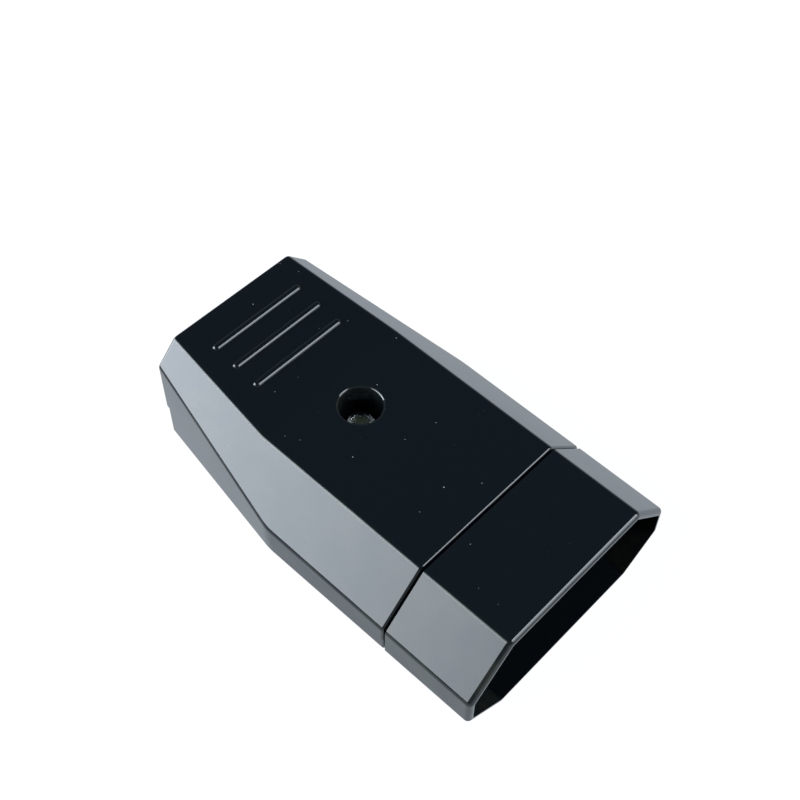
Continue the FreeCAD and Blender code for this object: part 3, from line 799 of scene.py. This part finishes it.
def make_softbox(name, aim, radiance, tint):
    """A rectangular lamp that faces the coupling and fades along its width and its height.

    Its power is pi times its area times its radiance. The share of that radiance falls in a straight line
    along the width, and changes in a smooth step along the height.
    """
    place = SOFTBOXES[name]
    towards = bearing(math.radians(place.azimuth), math.radians(place.elevation))
    lamp = bpy.data.lights.new(name, "AREA")
    lamp.shape = "RECTANGLE"
    lamp.size = place.width
    lamp.size_y = place.height
    lamp.energy = math.pi * place.width * place.height * radiance
    lamp.color = tint
    lamp.use_nodes = True
    tree = lamp.node_tree
    tree.nodes.clear()
    spot = add(tree, "ShaderNodeSeparateXYZ", {
        "Vector": add(tree, "ShaderNodeNewGeometry").outputs["Parametric"]})
    sideways = add(tree, "ShaderNodeMapRange", {
        "Value": spot.outputs["X"], "To Min": 1.0, "To Max": place.dim_end})
    upwards = add(tree, "ShaderNodeMapRange", {
        "Value": spot.outputs["Y"], "From Min": place.dark_share, "From Max": place.full_share},
        interpolation_type="SMOOTHSTEP")
    share = add(tree, "ShaderNodeMath", {0: sideways.outputs["Result"], 1: upwards.outputs["Result"]},
                operation="MULTIPLY")
    glow = add(tree, "ShaderNodeEmission", {"Strength": share.outputs["Value"]})
    add(tree, "ShaderNodeOutputLight", {"Surface": glow.outputs["Emission"]})
    box = bpy.data.objects.new(name, lamp)
    box.location = aim + towards * place.distance
    box.rotation_mode = "QUATERNION"
    roll = Quaternion((0, 0, 1), math.radians(place.turn))
    box.rotation_quaternion = (-towards).to_track_quat("-Z", "Y") @ roll
    box.visible_camera = False
    bpy.context.scene.collection.objects.link(box)


def make_studio_world(stage):
    """Dim studio room: its colour goes from the wall's to the ceiling's with the sine of the elevation."""
    wall_end = 0.1
    ceiling_start = 0.5
    world = bpy.data.worlds.new("studio_room")
    world.use_nodes = True
    tree = world.node_tree
    tree.nodes.clear()
    way = add(tree, "ShaderNodeTexCoord").outputs["Generated"]
    height = add(tree, "ShaderNodeSeparateXYZ", {"Vector": way})
    share = add(tree, "ShaderNodeMapRange", {
        "Value": height.outputs["Z"], "From Min": wall_end, "From Max": ceiling_start},
        interpolation_type="SMOOTHSTEP")
    colour = add(tree, "ShaderNodeMix", {
        "Factor": share.outputs["Result"], "A": opaque(stage.horizon), "B": opaque(stage.ceiling)},
        data_type="RGBA")
    background = add(tree, "ShaderNodeBackground", {"Color": colour.outputs["Result"]})
    add(tree, "ShaderNodeOutputWorld", {"Surface": background.outputs["Background"]})
    bpy.context.scene.world = world


def make_camera(stage, aim):
    """Camera on its bearing from the aim, turned about its own axis by the roll."""
    back = bearing(stage.azimuth, stage.elevation)
    lens = bpy.data.cameras.new("camera")
    lens.lens = stage.lens
    lens.clip_start = CLIP_START
    camera = bpy.data.objects.new("camera", lens)
    camera.location = aim + back * stage.distance
    camera.rotation_mode = "QUATERNION"
    camera.rotation_quaternion = (-back).to_track_quat("-Z", "Y") @ Quaternion((0, 0, 1), stage.roll)
    bpy.context.scene.collection.objects.link(camera)
    bpy.context.scene.camera = camera


class COUPLING_OT_set_stage(Operator):
    """Set the floor, the softboxes, the room and the camera"""
    bl_idname = "coupling.set_stage"
    bl_label = "Set stage"

    def execute(self, context):
        stage = context.scene.coupling_stage
        middle = (cad_box[0] + cad_box[1]) / 2
        make_floor(stage)
        for name in SOFTBOXES:
            make_softbox(name, middle, getattr(stage, name), stage.box_tint)
        make_studio_world(stage)
        make_camera(stage, aim=Vector((stage.aim_across, stage.aim_along, middle.z)))
        context.scene.view_settings.view_transform = "Standard"
        return {"FINISHED"}


# Panel and add-on

class COUPLING_PT_sidebar(Panel):
    """Sidebar panel with the coupling's settings and its operators"""
    bl_label = "In-line coupling"
    bl_idname = "COUPLING_PT_sidebar"
    bl_space_type = "VIEW_3D"
    bl_region_type = "UI"
    bl_category = "Coupling"

    def draw(self, context):
        for name in SETTINGS:
            box = self.layout.box()
            settings = getattr(context.scene, name)
            for key in settings.__annotations__:
                box.prop(settings, key)
        for operator in OPERATORS:
            self.layout.operator(operator.bl_idname)


SETTINGS = {
    "coupling_finish": FinishSettings,
    "coupling_screws": ScrewSettings,
    "coupling_stage": StageSettings,
}
OPERATORS = (
    COUPLING_OT_finish_mouldings,
    COUPLING_OT_finish_clamp,
    COUPLING_OT_finish_contacts,
    COUPLING_OT_make_cover_screw,
    COUPLING_OT_make_clamp_screws,
    COUPLING_OT_make_cover_nut,
    COUPLING_OT_set_stage,
)
CLASSES = (*SETTINGS.values(), *OPERATORS, COUPLING_PT_sidebar)


def register():
    """Register the classes, and hang the settings on the scene."""
    for kind in CLASSES:
        bpy.utils.register_class(kind)
    for name, kind in SETTINGS.items():
        setattr(bpy.types.Scene, name, PointerProperty(type=kind))


def unregister():
    """Take the settings off the scene again, and unregister the classes."""
    for name in SETTINGS:
        delattr(bpy.types.Scene, name)
    for kind in reversed(CLASSES):
        bpy.utils.unregister_class(kind)


def main():
    """Register the add-on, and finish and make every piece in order."""
    register()
    bpy.ops.coupling.finish_mouldings()
    bpy.ops.coupling.finish_clamp()
    bpy.ops.coupling.finish_contacts()
    bpy.ops.coupling.make_cover_screw()
    bpy.ops.coupling.make_clamp_screws()
    bpy.ops.coupling.make_cover_nut()
    bpy.ops.coupling.set_stage()


if __name__ == "__main__":
    main()
